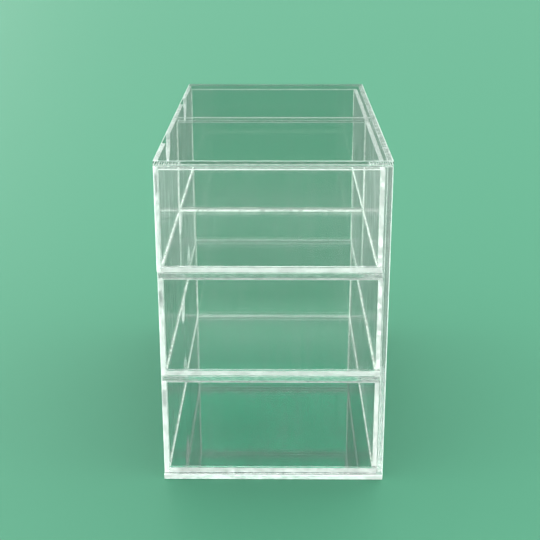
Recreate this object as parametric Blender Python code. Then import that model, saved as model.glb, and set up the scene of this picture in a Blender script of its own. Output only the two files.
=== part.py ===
"""Clear acrylic drawer organizer: a bonded sheet case with three tiers.

The top tier holds two half-width drawers with a partition between them, and
the two lower tiers hold one full-width drawer each.  Every drawer is bonded up
from five sheets and has a rounded finger notch in the top edge of its front.

Frame: metres, +Z up, origin at the centre of the footprint, which takes in the
slightly proud top drawers.  The drawer fronts face -Y, the width runs along X,
and the drawers pull out along -Y.
"""

import math

import bmesh
import bpy

# ---------------------------------------------------------------- dimensions
WIDTH = 0.2400            # case, side to side (X)
DEPTH = 0.1270            # case, front to back (Y)
SHEET = 0.0029            # case sheets and drawer floors, nominal 3 mm stock
THIN = 0.0024             # drawer fronts, walls and backs, nominal 2.5 mm stock
BOND = 0.0003             # space held between bonded or resting faces
ARRIS = 0.00022           # eased edge on every sheet
ARRIS_SEGMENTS = 2

BAY_TOP = 0.0606          # clear height of the top tier
BAY_MIDDLE = 0.0589
BAY_LOWER = 0.0589
HEIGHT = BAY_TOP + BAY_MIDDLE + BAY_LOWER + 4.0 * SHEET      # 0.1900

SETBACK = 0.0003          # front edges of sides and shelves, behind top and bottom
SIDE_PLAY = 0.0005        # drawer to case wall, each side
FRONT_PLAY = 0.0005       # top of a drawer front to the sheet above it
WALL_HEIGHT = 0.0578      # every drawer, underside to the top of its walls
REAR_PLAY = 0.0003        # closed drawer to the back sheet
TOP_PROUD = 0.0007        # the two top drawers stand forward of the lower ones
CASE_SHIFT = 0.5 * (TOP_PROUD - SETBACK)   # keeps the whole footprint centred
FRONT_Y = -0.5 * DEPTH + CASE_SHIFT        # front edge of top and bottom panels
BACK_Y = 0.5 * DEPTH + CASE_SHIFT          # outer face of the back sheet

NOTCH_WIDTH = 0.0250      # finger notch, along X
NOTCH_DEPTH = 0.0140      # down from the top edge of the front
NOTCH_STEPS = 24          # facets round the notch's half circle
LIP_RADIUS = 0.0015       # rounding where the notch meets the top edge
LIP_STEPS = 4

CLEAR_COLOUR = (0.88, 0.95, 0.92, 1.0)
CLEAR_ROUGHNESS = 0.04
CLEAR_IOR = 1.49


# ------------------------------------------------------------------- helpers
def clear_scene():
    for obj in list(bpy.data.objects):
        bpy.data.objects.remove(obj, do_unlink=True)


def acrylic(name):
    """Clear acrylic; every sheet has a material of its own."""
    material = bpy.data.materials.new(name)
    material.use_nodes = True
    shader = material.node_tree.nodes["Principled BSDF"]
    shader.inputs["Base Color"].default_value = CLEAR_COLOUR
    shader.inputs["Roughness"].default_value = CLEAR_ROUGHNESS
    shader.inputs["Metallic"].default_value = 0.0
    shader.inputs["IOR"].default_value = CLEAR_IOR
    shader.inputs["Transmission Weight"].default_value = 1.0
    return material


def finish_object(name, mesh, location, parent):
    mesh.validate()
    obj = bpy.data.objects.new(name, mesh)
    bpy.context.scene.collection.objects.link(obj)
    obj.location = location
    if parent is not None:
        obj.parent = parent
    mesh.materials.append(acrylic(name))

    arris = obj.modifiers.new("arris", "BEVEL")
    arris.width = ARRIS
    arris.segments = ARRIS_SEGMENTS
    arris.limit_method = "ANGLE"
    arris.angle_limit = math.radians(50.0)
    arris.use_clamp_overlap = True
    return obj


def sheet(name, low, high, parent=None):
    """A plain rectangular sheet between two opposite corners.

    The corners are in the parent's frame.  The sheet's own origin is at its
    centre.
    """
    size = [high[i] - low[i] for i in range(3)]
    centre = [0.5 * (high[i] + low[i]) for i in range(3)]
    bm = bmesh.new()
    bmesh.ops.create_cube(bm, size=1.0)
    bmesh.ops.scale(bm, vec=size, verts=bm.verts)
    bmesh.ops.recalc_face_normals(bm, faces=bm.faces)
    mesh = bpy.data.meshes.new(name)
    bm.to_mesh(mesh)
    bm.free()
    return finish_object(name, mesh, centre, parent)


def notch_outline(width, height):
    """Front sheet outline in X and Z, anticlockwise seen from the front.

    A U with a half-round bottom is cut down from the middle of the top edge,
    and its two upper corners are rounded off.
    """
    half_w = 0.5 * width
    half_h = 0.5 * height
    radius = 0.5 * NOTCH_WIDTH
    straight = NOTCH_DEPTH - radius            # length of the U's side walls
    lip = LIP_RADIUS
    centre_z = half_h - straight               # centre of the half circle
    points = [(-half_w, -half_h), (half_w, -half_h), (half_w, half_h)]

    # right lip, from the top edge round into the notch's side wall
    for step in range(LIP_STEPS + 1):
        angle = math.pi / 2.0 * step / LIP_STEPS
        points.append((radius + lip - lip * math.sin(angle),
                       half_h - lip + lip * math.cos(angle)))
    # half circle, right to left through the bottom
    for step in range(NOTCH_STEPS + 1):
        angle = math.pi * step / NOTCH_STEPS
        x = radius * math.cos(angle)
        z = centre_z - radius * math.sin(angle)
        if points and math.hypot(points[-1][0] - x, points[-1][1] - z) < 1e-5:
            continue
        points.append((x, z))
    # left lip, back up to the top edge
    for step in range(LIP_STEPS, -1, -1):
        angle = math.pi / 2.0 * step / LIP_STEPS
        x = -(radius + lip - lip * math.sin(angle))
        z = half_h - lip + lip * math.cos(angle)
        if math.hypot(points[-1][0] - x, points[-1][1] - z) < 1e-5:
            continue
        points.append((x, z))
    points.append((-half_w, half_h))
    return points


def notched_front(name, low, high, parent):
    """A drawer front: a sheet with a finger notch in its top edge."""
    width = high[0] - low[0]
    thick = high[1] - low[1]
    height = high[2] - low[2]
    centre = [0.5 * (high[i] + low[i]) for i in range(3)]
    outline = notch_outline(width, height)
    bm = bmesh.new()
    ring = [bm.verts.new((x, -0.5 * thick, z)) for x, z in outline]
    face = bm.faces.new(ring)
    result = bmesh.ops.extrude_face_region(bm, geom=[face])
    moved = [item for item in result["geom"]
             if isinstance(item, bmesh.types.BMVert)]
    bmesh.ops.translate(bm, vec=(0.0, thick, 0.0), verts=moved)
    bmesh.ops.recalc_face_normals(bm, faces=bm.faces)
    mesh = bpy.data.meshes.new(name)
    bm.to_mesh(mesh)
    bm.free()
    return finish_object(name, mesh, centre, parent)


# ---------------------------------------------------------------------- case
def build_case():
    half_w = 0.5 * WIDTH
    inner_w = half_w - SHEET
    front_edge = FRONT_Y + SETBACK
    back_face = BACK_Y - SHEET                 # inner face of the back sheet

    # bottom and top cover the edges of the sides and the back
    sheet("bottom_panel", (-half_w, FRONT_Y, 0.0), (half_w, BACK_Y, SHEET))
    sheet("top_panel", (-half_w, FRONT_Y, HEIGHT - SHEET),
          (half_w, BACK_Y, HEIGHT))

    wall_low = SHEET + BOND
    wall_high = HEIGHT - SHEET - BOND
    sheet("left_side", (-half_w, front_edge, wall_low),
          (-inner_w, BACK_Y, wall_high))
    sheet("right_side", (inner_w, front_edge, wall_low),
          (half_w, BACK_Y, wall_high))
    sheet("back_panel", (-inner_w + BOND, back_face, wall_low),
          (inner_w - BOND, BACK_Y, wall_high))

    # shelves, bonded to the sides and the back
    lower_z = SHEET + BAY_LOWER
    upper_z = lower_z + SHEET + BAY_MIDDLE
    for name, z in (("lower_shelf", lower_z), ("upper_shelf", upper_z)):
        sheet(name, (-inner_w + BOND, front_edge, z),
              (inner_w - BOND, back_face - BOND, z + SHEET))

    # partition between the two top drawers
    sheet("top_tier_partition",
          (-0.5 * SHEET, front_edge, upper_z + SHEET + BOND),
          (0.5 * SHEET, back_face - BOND, wall_high))
    return lower_z, upper_z


# ------------------------------------------------------------------- drawers
def build_drawer(prefix, x_low, x_high, bay_floor, bay_height, proud):
    """One drawer between two X limits, standing in a bay.

    An empty at the drawer's centre, on the line of its slide, carries the five
    sheets, so the whole drawer moves when the empty moves along Y.  The drawer
    rests this far (proud) short of fully shut.
    """
    mid_x = 0.5 * (x_low + x_high)
    half_x = 0.5 * (x_high - x_low)
    base = bay_floor + BOND
    front_top = bay_floor + bay_height - FRONT_PLAY
    wall_top = base + WALL_HEIGHT
    front_y = FRONT_Y + SETBACK - proud
    back_y = BACK_Y - SHEET - REAR_PLAY - proud
    mid_y = 0.5 * (front_y + back_y)

    slide = bpy.data.objects.new(prefix + "_slide", None)
    slide.empty_display_size = 0.02
    bpy.context.scene.collection.objects.link(slide)
    slide.location = (mid_x, mid_y, base)

    def local(x, y, z):
        return (x, y - mid_y, z - base)

    behind_front = front_y + THIN + BOND
    notched_front(prefix + "_front", local(-half_x, front_y, base),
                  local(half_x, front_y + THIN, front_top), slide)
    sheet(prefix + "_floor", local(-half_x, behind_front, base),
          local(half_x, back_y, base + SHEET), slide)
    wall_base = base + SHEET + BOND
    sheet(prefix + "_left_wall", local(-half_x, behind_front, wall_base),
          local(-half_x + THIN, back_y, wall_top), slide)
    sheet(prefix + "_right_wall", local(half_x - THIN, behind_front, wall_base),
          local(half_x, back_y, wall_top), slide)
    sheet(prefix + "_back", local(-half_x + THIN + BOND, back_y - THIN, wall_base),
          local(half_x - THIN - BOND, back_y, wall_top), slide)
    return slide


def build():
    clear_scene()
    lower_z, upper_z = build_case()
    inner_w = 0.5 * WIDTH - SHEET
    full = inner_w - SIDE_PLAY
    inner = 0.5 * SHEET + SIDE_PLAY
    build_drawer("lower_drawer", -full, full, SHEET, BAY_LOWER, 0.0)
    build_drawer("middle_drawer", -full, full, lower_z + SHEET, BAY_MIDDLE, 0.0)
    build_drawer("top_left_drawer", -full, -inner, upper_z + SHEET, BAY_TOP,
                 TOP_PROUD)
    build_drawer("top_right_drawer", inner, full, upper_z + SHEET, BAY_TOP,
                 TOP_PROUD)


build()
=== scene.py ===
import math

import bmesh
import bpy
from mathutils import Matrix, Vector, noise


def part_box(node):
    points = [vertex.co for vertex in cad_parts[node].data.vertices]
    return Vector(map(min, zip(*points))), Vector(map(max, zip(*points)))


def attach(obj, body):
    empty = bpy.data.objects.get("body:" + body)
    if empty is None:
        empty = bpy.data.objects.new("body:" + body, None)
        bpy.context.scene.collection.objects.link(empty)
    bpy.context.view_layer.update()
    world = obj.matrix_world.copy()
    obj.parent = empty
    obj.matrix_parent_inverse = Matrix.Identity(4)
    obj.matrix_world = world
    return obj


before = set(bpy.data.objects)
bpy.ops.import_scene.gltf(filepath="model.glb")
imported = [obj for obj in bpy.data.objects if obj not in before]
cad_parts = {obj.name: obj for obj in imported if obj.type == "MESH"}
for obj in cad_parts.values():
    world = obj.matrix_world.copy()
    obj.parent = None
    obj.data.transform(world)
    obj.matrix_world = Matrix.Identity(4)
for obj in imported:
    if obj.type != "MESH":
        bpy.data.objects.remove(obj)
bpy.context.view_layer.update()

# ------------------------------------------------------------------ camera
IMAGE = 540.0
FOCAL_PX = 1094.4
SCALE = 127.0 / 129.0
CAM_POS = Vector((0.69343 * SCALE, 0.00442 * SCALE + 0.0002, 0.33003 * SCALE))
PITCH = math.radians(19.178)
YAW = math.radians(0.617)
ROLL = math.radians(-0.09)


def make_camera():
    cam = bpy.data.cameras.new("camera")
    cam.sensor_fit = "HORIZONTAL"
    cam.sensor_width = 36.0
    cam.lens = FOCAL_PX / IMAGE * 36.0
    cam.clip_start = 0.01
    cam.clip_end = 100.0
    obj = bpy.data.objects.new("camera", cam)
    bpy.context.scene.collection.objects.link(obj)
    forward = Vector((-math.cos(YAW) * math.cos(PITCH),
                      -math.sin(YAW) * math.cos(PITCH), -math.sin(PITCH)))
    right = Vector((-math.sin(YAW), math.cos(YAW), 0.0))
    up = right.cross(forward)
    right2 = math.cos(ROLL) * right + math.sin(ROLL) * up
    up2 = -math.sin(ROLL) * right + math.cos(ROLL) * up
    rot = Matrix((right2, up2, -forward)).transposed()
    obj.matrix_world = Matrix.Translation(CAM_POS) @ rot.to_4x4()
    bpy.context.scene.camera = obj


make_camera()


# --------------------------------------------------------------- materials
X, Y, Z = 0, 1, 2


class Nodes:
    """Small helper that adds and wires shader nodes."""

    def __init__(self, material):
        self.tree = material.node_tree

    def add(self, kind, **props):
        node = self.tree.nodes.new(kind)
        for key, value in props.items():
            setattr(node, key, value)
        return node

    def plug(self, value, socket):
        if isinstance(value, (int, float)):
            socket.default_value = value
        else:
            self.tree.links.new(value, socket)

    def math(self, operation, a, b=None, c=None):
        node = self.add("ShaderNodeMath", operation=operation)
        for i, value in enumerate((a, b, c)):
            if value is not None:
                self.plug(value, node.inputs[i])
        return node.outputs[0]

    def ramp(self, value, low, high, to_low=0.0, to_high=1.0, smooth=False):
        node = self.add("ShaderNodeMapRange",
                        interpolation_type="SMOOTHSTEP" if smooth else "LINEAR")
        self.plug(value, node.inputs["Value"])
        node.inputs["From Min"].default_value = low
        node.inputs["From Max"].default_value = high
        node.inputs["To Min"].default_value = to_low
        node.inputs["To Max"].default_value = to_high
        return node.outputs[0]

    def mix(self, factor, a, b):
        """a where factor is 0, b where it is 1."""
        node = self.add("ShaderNodeMix", data_type="FLOAT")
        self.plug(factor, node.inputs[0])
        self.plug(a, node.inputs[2])
        self.plug(b, node.inputs[3])
        return node.outputs[0]

    def noise(self, coords, stretch, scale, detail):
        """Noise from 0 to 1; a small stretch value draws it out along that axis."""
        scaled = self.add("ShaderNodeVectorMath", operation="MULTIPLY")
        self.plug(coords, scaled.inputs[0])
        scaled.inputs[1].default_value = stretch
        node = self.add("ShaderNodeTexNoise")
        self.plug(scaled.outputs[0], node.inputs["Vector"])
        node.inputs["Scale"].default_value = scale
        node.inputs["Detail"].default_value = detail
        return node.outputs[0]


def sheet_material(name, axis, end_axis, white, rough, glow, arris_white,
                   arris_glow, haze, graze=0.0, shade_band=None, centre_glow=None,
                   under=None, left=None):
    """Clear acrylic sheet, thickness along axis.

    Its broad faces are polished, with faint wipe marks between the two haze
    values.  white, rough, glow, arris_white and arris_glow hold two values
    each, the first for the edges square to end_axis and the second for the
    other edges and for any notch.  glow stands for the light that the sheet
    gathers and pipes to its cut edges.  graze is how milky its dusty, scuffed
    film makes a broad face that is seen almost edge-on.  window is a stretch
    of the sheet's height, as two fractions, where the end edges are painted
    clear and dark: painted shade where the notch cuts off the light piped
    along the sheet.
    centre_glow is the glow of an end edge beside the middle partition, and
    under is the white, glow and rough of an edge that is bonded down onto a
    floor, and of the arrises beside it.  left is the white and glow of the
    case's left edge, and then of its arrises: a painted highlight that makes
    that one edge and its arrises brighter than the others.
    """
    mat = bpy.data.materials.new(name)
    mat.use_nodes = True
    n = Nodes(mat)
    bsdf = mat.node_tree.nodes["Principled BSDF"]
    bsdf.inputs["IOR"].default_value = 1.49
    bsdf.inputs["Specular IOR Level"].default_value = 0.0
    bsdf.inputs["Base Color"].default_value = (0.991, 0.999, 0.995, 1)
    bsdf.inputs["Emission Color"].default_value = (0.975, 1.0, 0.965, 1)

    coords = n.add("ShaderNodeTexCoord")
    split = n.add("ShaderNodeSeparateXYZ")
    n.plug(coords.outputs["Normal"], split.inputs[0])
    along = n.math("ABSOLUTE", split.outputs[axis])
    endwise = n.math("ABSOLUTE", split.outputs[end_axis])

    not_face = n.ramp(along, 0.97, 0.93)
    edge = n.ramp(along, 0.30, 0.20)
    end = n.ramp(endwise, 0.9983, 0.9994)
    end_arris = n.ramp(endwise, 0.10, 0.20)

    # patchy solvent bond and saw marks on the cut edges, which also make their painted
    # glow uneven
    patches = n.noise(coords.outputs["Object"], (1.0, 1.0, 1.0), 330.0, 3.0)
    beads = n.noise(coords.outputs["Object"], (1.0, 1.0, 1.0), 760.0, 1.0)
    patch = n.ramp(patches, 0.41, 0.59, 0.50, 1.20)
    bead = n.ramp(beads, 0.40, 0.52, 0.45, 1.12)
    uneven = n.math("MULTIPLY", patch, bead)

    end_white = white[0]
    end_glow = glow[0]
    height = n.add("ShaderNodeSeparateXYZ")
    n.plug(coords.outputs["Generated"], height.inputs[0])
    # painted shade: in this band the end edges turn clear and lose their glow, for the
    # light the notch cuts off
    if shade_band is not None:
        wave = n.ramp(patches, 0.3, 0.7, -0.03, 0.03)
        level = n.math("ADD", height.outputs["Z"], wave)
        low = n.ramp(level, shade_band[0] - 0.015, shade_band[0] + 0.015)
        high = n.ramp(level, shade_band[1] + 0.015, shade_band[1] - 0.015)
        clear = n.math("MULTIPLY", low, high)
        end_white = n.mix(clear, white[0], 0.06)
        end_glow = n.mix(clear, glow[0], 0.01)
    place = n.add("ShaderNodeSeparateXYZ")
    n.plug(coords.outputs["Object"], place.inputs[0])
    if centre_glow is not None:
        centre = n.ramp(n.math("ABSOLUTE", place.outputs["X"]), 0.012, 0.008)
        end_glow = n.mix(centre, end_glow, centre_glow)
    rim_white = n.mix(end_arris, arris_white[1], arris_white[0])
    rim_glow = n.mix(end_arris, arris_glow[1], arris_glow[0])
    # painted highlight: the case's left edge and its arrises are made whiter and given
    # more glow
    if left is not None:
        left_highlight_mask = n.ramp(place.outputs["X"], -0.1190, -0.1194)
        end_white = n.mix(left_highlight_mask, end_white, left[0])
        end_glow = n.mix(left_highlight_mask, end_glow, left[1])
        rim_white = n.mix(left_highlight_mask, rim_white, left[2])
        rim_glow = n.mix(left_highlight_mask, rim_glow, left[3])

    other_white, other_glow = white[1], glow[1]
    if under is not None:
        lowest = n.ramp(height.outputs["Z"], 0.0075, 0.0055)
        other_white = n.mix(lowest, white[1], under[0])
        other_glow = n.mix(lowest, glow[1], under[1])
        rim_white = n.mix(lowest, rim_white, under[0])
        rim_glow = n.mix(lowest, rim_glow, under[1])
    edge_white = n.math("MULTIPLY", n.mix(end, other_white, end_white), patch)
    cut_white = n.mix(edge, rim_white, n.math("MINIMUM", edge_white, 0.95))
    cut_rough = n.mix(edge, 0.35, n.mix(end, rough[1], rough[0]))
    if under is not None:
        cut_rough = n.mix(lowest, cut_rough, under[2])
    edge_glow = n.math("MULTIPLY", n.mix(end, other_glow, end_glow), uneven)
    cut_glow = n.mix(edge, n.math("MULTIPLY", rim_glow, patch), edge_glow)
    n.plug(n.math("MULTIPLY", not_face, cut_glow), bsdf.inputs["Emission Strength"])

    # wipe marks run up and down the upright sheets, and front to back on the others
    stretch = (1.0, 0.10, 1.0) if axis == Z else (1.0, 1.0, 0.07)
    marks = n.noise(coords.outputs["Object"], stretch, 260.0, 4.0)
    smudges = n.noise(coords.outputs["Object"], (1.0, 1.0, 1.0), 34.0, 3.0)
    mark = n.math("MULTIPLY", n.ramp(marks, 0.42, 0.62), n.ramp(smudges, 0.38, 0.60))
    facing = n.add("ShaderNodeLayerWeight")
    grazing = n.ramp(facing.outputs["Facing"], 0.78, 0.92, 0.0, graze, True)
    # the grazing film grows milkier towards the top
    film_by_height = n.ramp(place.outputs["Z"], 0.05, 0.17, 0.75, 2.60)
    film = n.math("MULTIPLY", n.math("MULTIPLY", grazing, film_by_height),
                  n.ramp(mark, 0.0, 1.0, 0.75, 1.25))
    dull = n.math("ADD", n.mix(mark, haze[0], haze[1]), film)
    share = n.mix(not_face, n.math("MINIMUM", dull, 0.8), cut_white)
    n.plug(n.mix(not_face, 0.0, cut_rough), bsdf.inputs["Roughness"])
    n.plug(n.math("SUBTRACT", 1.0, share), bsdf.inputs["Transmission Weight"])
    return mat


MATS = {
    "front": sheet_material("drawer_front_acrylic", Y, X, (0.85, 0.92), (0.30, 0.40),
                            (0.44, 0.38), (0.92, 0.92), (0.46, 0.42), (0.010, 0.050),
                            0.30, (0.74, 0.91), 0.46),
    "floor": sheet_material("drawer_floor_acrylic", Z, X, (0.80, 0.90), (0.40, 0.40),
                            (0.33, 0.36), (0.92, 0.92), (0.38, 0.44), (0.001, 0.006),
                            0.0, None, 0.50),
    "wall": sheet_material("drawer_wall_acrylic", X, Y, (0.70, 0.92), (0.40, 0.40),
                           (0.22, 0.30), (0.92, 0.80), (0.12, 0.22), (0.008, 0.026),
                           0.28, under=(0.03, 0.0, 0.03)),
    "middle_wall": sheet_material("drawer_middle_wall_acrylic", X, Y, (0.30, 0.30),
                                  (0.30, 0.30), (0.08, 0.05), (0.60, 0.60), (0.25, 0.10),
                                  (0.004, 0.012), 0.20),
    "back": sheet_material("drawer_back_acrylic", Y, X, (0.90, 0.92), (0.30, 0.40),
                           (0.85, 0.40), (0.92, 0.92), (0.60, 0.46), (0.010, 0.050), 0.28),
    "panel": sheet_material("case_panel_acrylic", Z, X, (0.04, 0.04), (0.05, 0.05),
                            (0.0, 0.0), (0.26, 0.50), (0.03, 0.20), (0.001, 0.006),
                            left=(0.10, 0.02, 0.90, 0.40)),
    "base": sheet_material("case_base_acrylic", Z, X, (0.50, 0.50), (0.30, 0.30),
                           (0.20, 0.20), (0.90, 0.90), (0.35, 0.35), (0.001, 0.006)),
    "shelf": sheet_material("case_shelf_acrylic", Z, X, (0.12, 0.30), (0.15, 0.30),
                            (0.02, 0.05), (0.50, 0.60), (0.16, 0.20), (0.001, 0.005)),
    "side": sheet_material("case_side_acrylic", X, Y, (0.35, 0.08), (0.20, 0.15),
                           (0.12, 0.0), (0.90, 0.12), (0.34, 0.03), (0.008, 0.026), 0.20),
    "rear": sheet_material("case_rear_acrylic", Y, X, (0.05, 0.45), (0.08, 0.20),
                           (0.0, 0.35), (0.80, 0.80), (0.40, 0.35), (0.008, 0.030), 0.20),
    "partition": sheet_material("case_partition_acrylic", X, Y, (0.60, 0.60), (0.30, 0.30),
                                (0.45, 0.24), (0.80, 0.80), (0.40, 0.25), (0.004, 0.014),
                                0.20),
}
KINDS = {"bottom_panel": "base", "top_panel": "panel", "left_side": "side",
         "right_side": "side", "back_panel": "rear", "lower_shelf": "shelf",
         "upper_shelf": "shelf", "top_tier_partition": "partition",
         "top_left_drawer_right_wall": "middle_wall",
         "top_right_drawer_left_wall": "middle_wall"}
for name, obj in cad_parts.items():
    kind = KINDS.get(name) or name.rsplit("_", 1)[1]
    obj.data.materials.clear()
    obj.data.materials.append(MATS[kind])


# ------------------------------------------------------------- solvent beads
def bead_material():
    """Dried solvent cement: cloudy, uneven and a little see-through, with a painted glow
    that is stronger where it is cloudier.
    """
    mat = bpy.data.materials.new("bond_bead")
    mat.use_nodes = True
    n = Nodes(mat)
    bsdf = mat.node_tree.nodes["Principled BSDF"]
    bsdf.inputs["IOR"].default_value = 1.49
    bsdf.inputs["Specular IOR Level"].default_value = 0.0
    bsdf.inputs["Emission Color"].default_value = (0.99, 1.0, 0.96, 1)
    coords = n.add("ShaderNodeTexCoord")
    cloud_and_glow = n.noise(coords.outputs["Object"], (1.0, 1.0, 1.0), 300.0, 3.0)
    tint = n.add("ShaderNodeValToRGB")
    tint.color_ramp.elements[0].position = 0.35
    tint.color_ramp.elements[0].color = (0.84, 0.92, 0.87, 1)
    tint.color_ramp.elements[1].position = 0.65
    tint.color_ramp.elements[1].color = (0.96, 0.98, 0.96, 1)
    n.plug(cloud_and_glow, tint.inputs["Fac"])
    n.plug(tint.outputs["Color"], bsdf.inputs["Base Color"])
    n.plug(n.ramp(cloud_and_glow, 0.38, 0.62, 0.50, 0.10), bsdf.inputs["Transmission Weight"])
    n.plug(n.ramp(cloud_and_glow, 0.38, 0.62, 0.20, 0.45), bsdf.inputs["Roughness"])
    # painted glow: the cement emits light, more where it is cloudier
    n.plug(n.ramp(cloud_and_glow, 0.38, 0.62, 0.16, 0.40), bsdf.inputs["Emission Strength"])
    return mat


def add_bead(bm, corner, run, away_a, away_b, length, radius):
    """Concave fillet laid along an inside corner, of slightly uneven size."""
    steps = max(8, int(length / 0.004))
    rings = []
    for i in range(steps + 1):
        at = corner + run * (length * i / steps)
        wave = noise.noise(at * 90.0) + 0.6 * noise.noise(at * 310.0)
        r = radius * (1.0 + 0.45 * wave)
        ring = []
        for u, v in ((0.0, 0.0), (1.0, 0.0), (0.5, 0.134), (0.134, 0.5), (0.0, 1.0)):
            ring.append(bm.verts.new(at + away_a * (u * r) + away_b * (v * r)))
        rings.append(ring)
    for one, two in zip(rings, rings[1:]):
        for k in range(5):
            m = (k + 1) % 5
            bm.faces.new((one[k], one[m], two[m], two[k]))
    bm.faces.new(rings[0])
    bm.faces.new(rings[-1][::-1])


def add_drawer_beads(prefix, material, along, upright):
    """The beads of one drawer: along is the radius of those laid on its floor,
    and upright of those up the corners of its left and of its right wall.
    """
    clear = 0.00003                       # keeps a bead just off the faces beside it
    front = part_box(prefix + "_front")
    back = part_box(prefix + "_back")
    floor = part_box(prefix + "_floor")
    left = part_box(prefix + "_left_wall")
    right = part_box(prefix + "_right_wall")
    x0, x1 = left[1][0] + clear, right[0][0] - clear
    y0, y1 = front[1][1] + clear, back[0][1] - clear
    z0, z1 = floor[1][2] + clear, left[1][2] - 0.0006
    ex, ey, ez = Vector((1, 0, 0)), Vector((0, 1, 0)), Vector((0, 0, 1))
    bm = bmesh.new()
    add_bead(bm, Vector((x0, y0, z0)), ex, ey, ez, x1 - x0, along)
    add_bead(bm, Vector((x0, y1, z0)), ex, ez, -ey, x1 - x0, along)
    for x, side, wall, radius in ((x0, ex, prefix + "_left_wall", upright[0]),
                                  (x1, -ex, prefix + "_right_wall", upright[1])):
        middle = min(abs(v) for v in (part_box(wall)[0][0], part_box(wall)[1][0])) < 0.01
        if middle:
            add_bead(bm, Vector((x, y0, z0)), ey, ez, side, y1 - y0, 0.00055)
        add_bead(bm, Vector((x, y0, z0)), ez, side, ey, z1 - z0, radius)
        add_bead(bm, Vector((x, y1, z0)), ez, -ey, side, z1 - z0, radius)
    bmesh.ops.recalc_face_normals(bm, faces=bm.faces)
    mesh = bpy.data.meshes.new(prefix + "_bond_beads")
    bm.to_mesh(mesh)
    bm.free()
    mesh.materials.append(material)
    obj = bpy.data.objects.new(prefix + "_bond_beads", mesh)
    bpy.context.scene.collection.objects.link(obj)
    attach(obj, prefix)


cement = bead_material()
add_drawer_beads("lower_drawer", cement, 0.00042, (0.00060, 0.00015))
for drawer in ("middle_drawer", "top_left_drawer", "top_right_drawer"):
    add_drawer_beads(drawer, cement, 0.00062, (0.00040, 0.00015))


# ------------------------------------------------------------------- stage
def make_stage():
    bm = bmesh.new()
    bmesh.ops.create_grid(bm, x_segments=1, y_segments=1, size=20.0)
    mesh = bpy.data.meshes.new("floor")
    bm.to_mesh(mesh)
    bm.free()
    floor = bpy.data.objects.new("floor", mesh)
    bpy.context.scene.collection.objects.link(floor)
    floor.location = (0, 0, -0.0004)
    mat = bpy.data.materials.new("floor")
    mat.use_nodes = True
    bsdf = mat.node_tree.nodes["Principled BSDF"]
    bsdf.inputs["Base Color"].default_value = (0.068, 0.244, 0.152, 1)
    bsdf.inputs["Roughness"].default_value = 0.6
    bsdf.inputs["Specular IOR Level"].default_value = 0.2
    mesh.materials.append(mat)


make_stage()


def surround(nt, height, green):
    """Colour of the surround by height; green holds the stops from 24 to 30 degrees."""
    ramp = nt.nodes.new("ShaderNodeValToRGB")
    nt.links.new(height, ramp.inputs["Fac"])
    elements = ramp.color_ramp.elements
    elements[0].position = 0.0
    elements[0].color = (0.011, 0.053, 0.031, 1)
    elements[1].position = 1.0
    elements[1].color = (0.360, 0.380, 0.370, 1)
    for degrees, colour in ((14.0, (0.013, 0.053, 0.031, 1)),
                            (15.5, (0.025, 0.053, 0.038, 1)),
                            (18.5, (0.025, 0.053, 0.038, 1)),
                            (20.5, (0.013, 0.047, 0.028, 1)),
                            (22.3, (0.069, 0.172, 0.120, 1)),
                            (36.0, (0.800, 0.840, 0.820, 1)),
                            (46.0, (1.000, 1.000, 1.000, 1)),
                            (60.0, (0.460, 0.475, 0.465, 1))) + green:
        element = elements.new(math.sin(math.radians(degrees)))
        element.color = colour
    return ramp.outputs["Color"]


def make_world():
    world = bpy.data.worlds.new("world")
    bpy.context.scene.world = world
    world.use_nodes = True
    nt = world.node_tree
    background = nt.nodes["Background"]
    coords = nt.nodes.new("ShaderNodeTexCoord")
    split = nt.nodes.new("ShaderNodeSeparateXYZ")
    n = Nodes(world)
    nt.links.new(coords.outputs["Generated"], split.inputs[0])
    off_x = n.ramp(n.math("ABSOLUTE", split.outputs["X"]), 0.15, 0.30, 0.0, 1.0, True)
    off_y = n.ramp(n.math("ABSOLUTE", split.outputs["Y"]), 0.15, 0.30, 0.0, 1.0, True)
    dim_x = n.ramp(split.outputs["X"], -0.10, 0.0, 1.0, 0.0, True)
    dim_y = n.ramp(split.outputs["Y"], 0.0, 0.10, 0.0, 1.0, True)
    lit = n.math("SUBTRACT", 1.0, n.math("MULTIPLY", dim_x, dim_y))
    lift = n.math("MULTIPLY", n.math("MULTIPLY", off_x, off_y),
                  n.math("MULTIPLY", lit, 0.46))
    height = n.math("ADD", split.outputs["Z"], lift)
    plain = surround(nt, height, ((24.0, (0.038, 0.128, 0.084, 1)),
                                  (27.5, (0.063, 0.260, 0.175, 1)),
                                  (30.0, (0.081, 0.275, 0.190, 1))))
    bright = surround(nt, height, ((24.0, (0.038, 0.145, 0.094, 1)),
                                   (25.7, (0.050, 0.340, 0.205, 1)),
                                   (27.5, (0.052, 0.300, 0.182, 1)),
                                   (30.0, (0.095, 0.480, 0.300, 1))))
    # the green is brighter towards -X only
    mix = nt.nodes.new("ShaderNodeMix")
    mix.data_type = "RGBA"
    nt.links.new(n.ramp(split.outputs["X"], -0.68, -0.80, 0.0, 1.0, True), mix.inputs[0])
    nt.links.new(plain, mix.inputs[6])
    nt.links.new(bright, mix.inputs[7])
    nt.links.new(mix.outputs[2], background.inputs["Color"])
    background.inputs["Strength"].default_value = 3.84


make_world()

bpy.context.scene.view_settings.view_transform = "Standard"
bpy.context.scene.view_settings.look = "None"

cy = bpy.context.scene.cycles
cy.max_bounces = 200
cy.transmission_bounces = 200
cy.glossy_bounces = 200
cy.diffuse_bounces = 24
cy.transparent_max_bounces = 16
cy.caustics_refractive = True
cy.caustics_reflective = True
